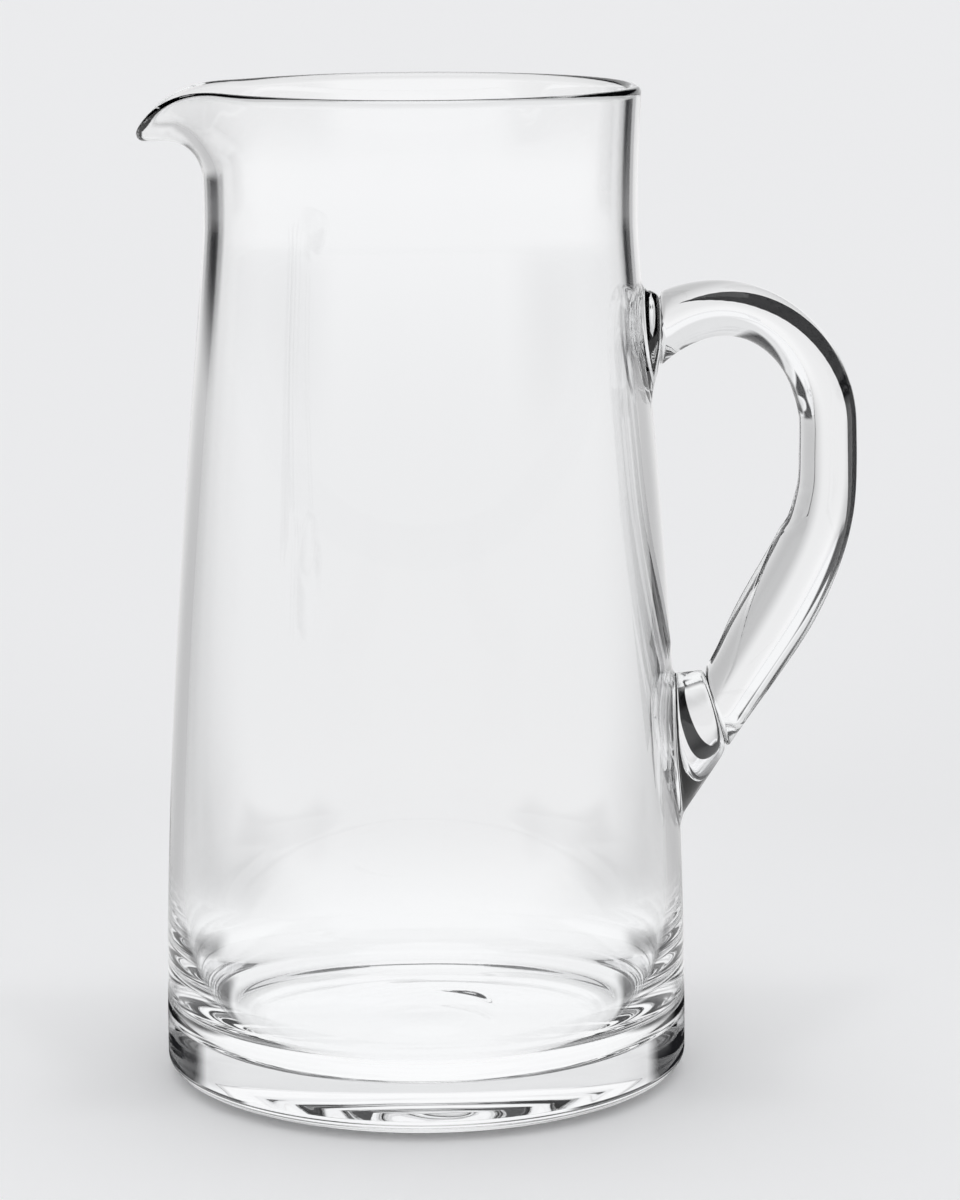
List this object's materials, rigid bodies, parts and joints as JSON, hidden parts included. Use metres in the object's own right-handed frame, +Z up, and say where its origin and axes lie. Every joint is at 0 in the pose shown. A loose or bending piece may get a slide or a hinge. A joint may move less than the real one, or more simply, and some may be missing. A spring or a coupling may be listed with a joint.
{
  "type": "pitcher",
  "caption": "Tapered clear glass pitcher with a pulled pouring lip, a heavy bowl-floored base and an applied loop handle.",
  "frame": {"origin": "centre of the flat underside, on the axis of the vessel", "axes": "+Z up along the vessel's axis, -X towards the pouring lip, +X towards the handle; XZ is the mirror plane"},
  "size_m": [0.1719, 0.1272, 0.2401],
  "materials": {
    "glass": "fire-polished"
  },
  "bodies": {
    "root": {"body": "glass", "base": "glass", "upper_seal": "glass", "handle": "glass", "lower_pad": "glass"}
  },
  "joints": []
}
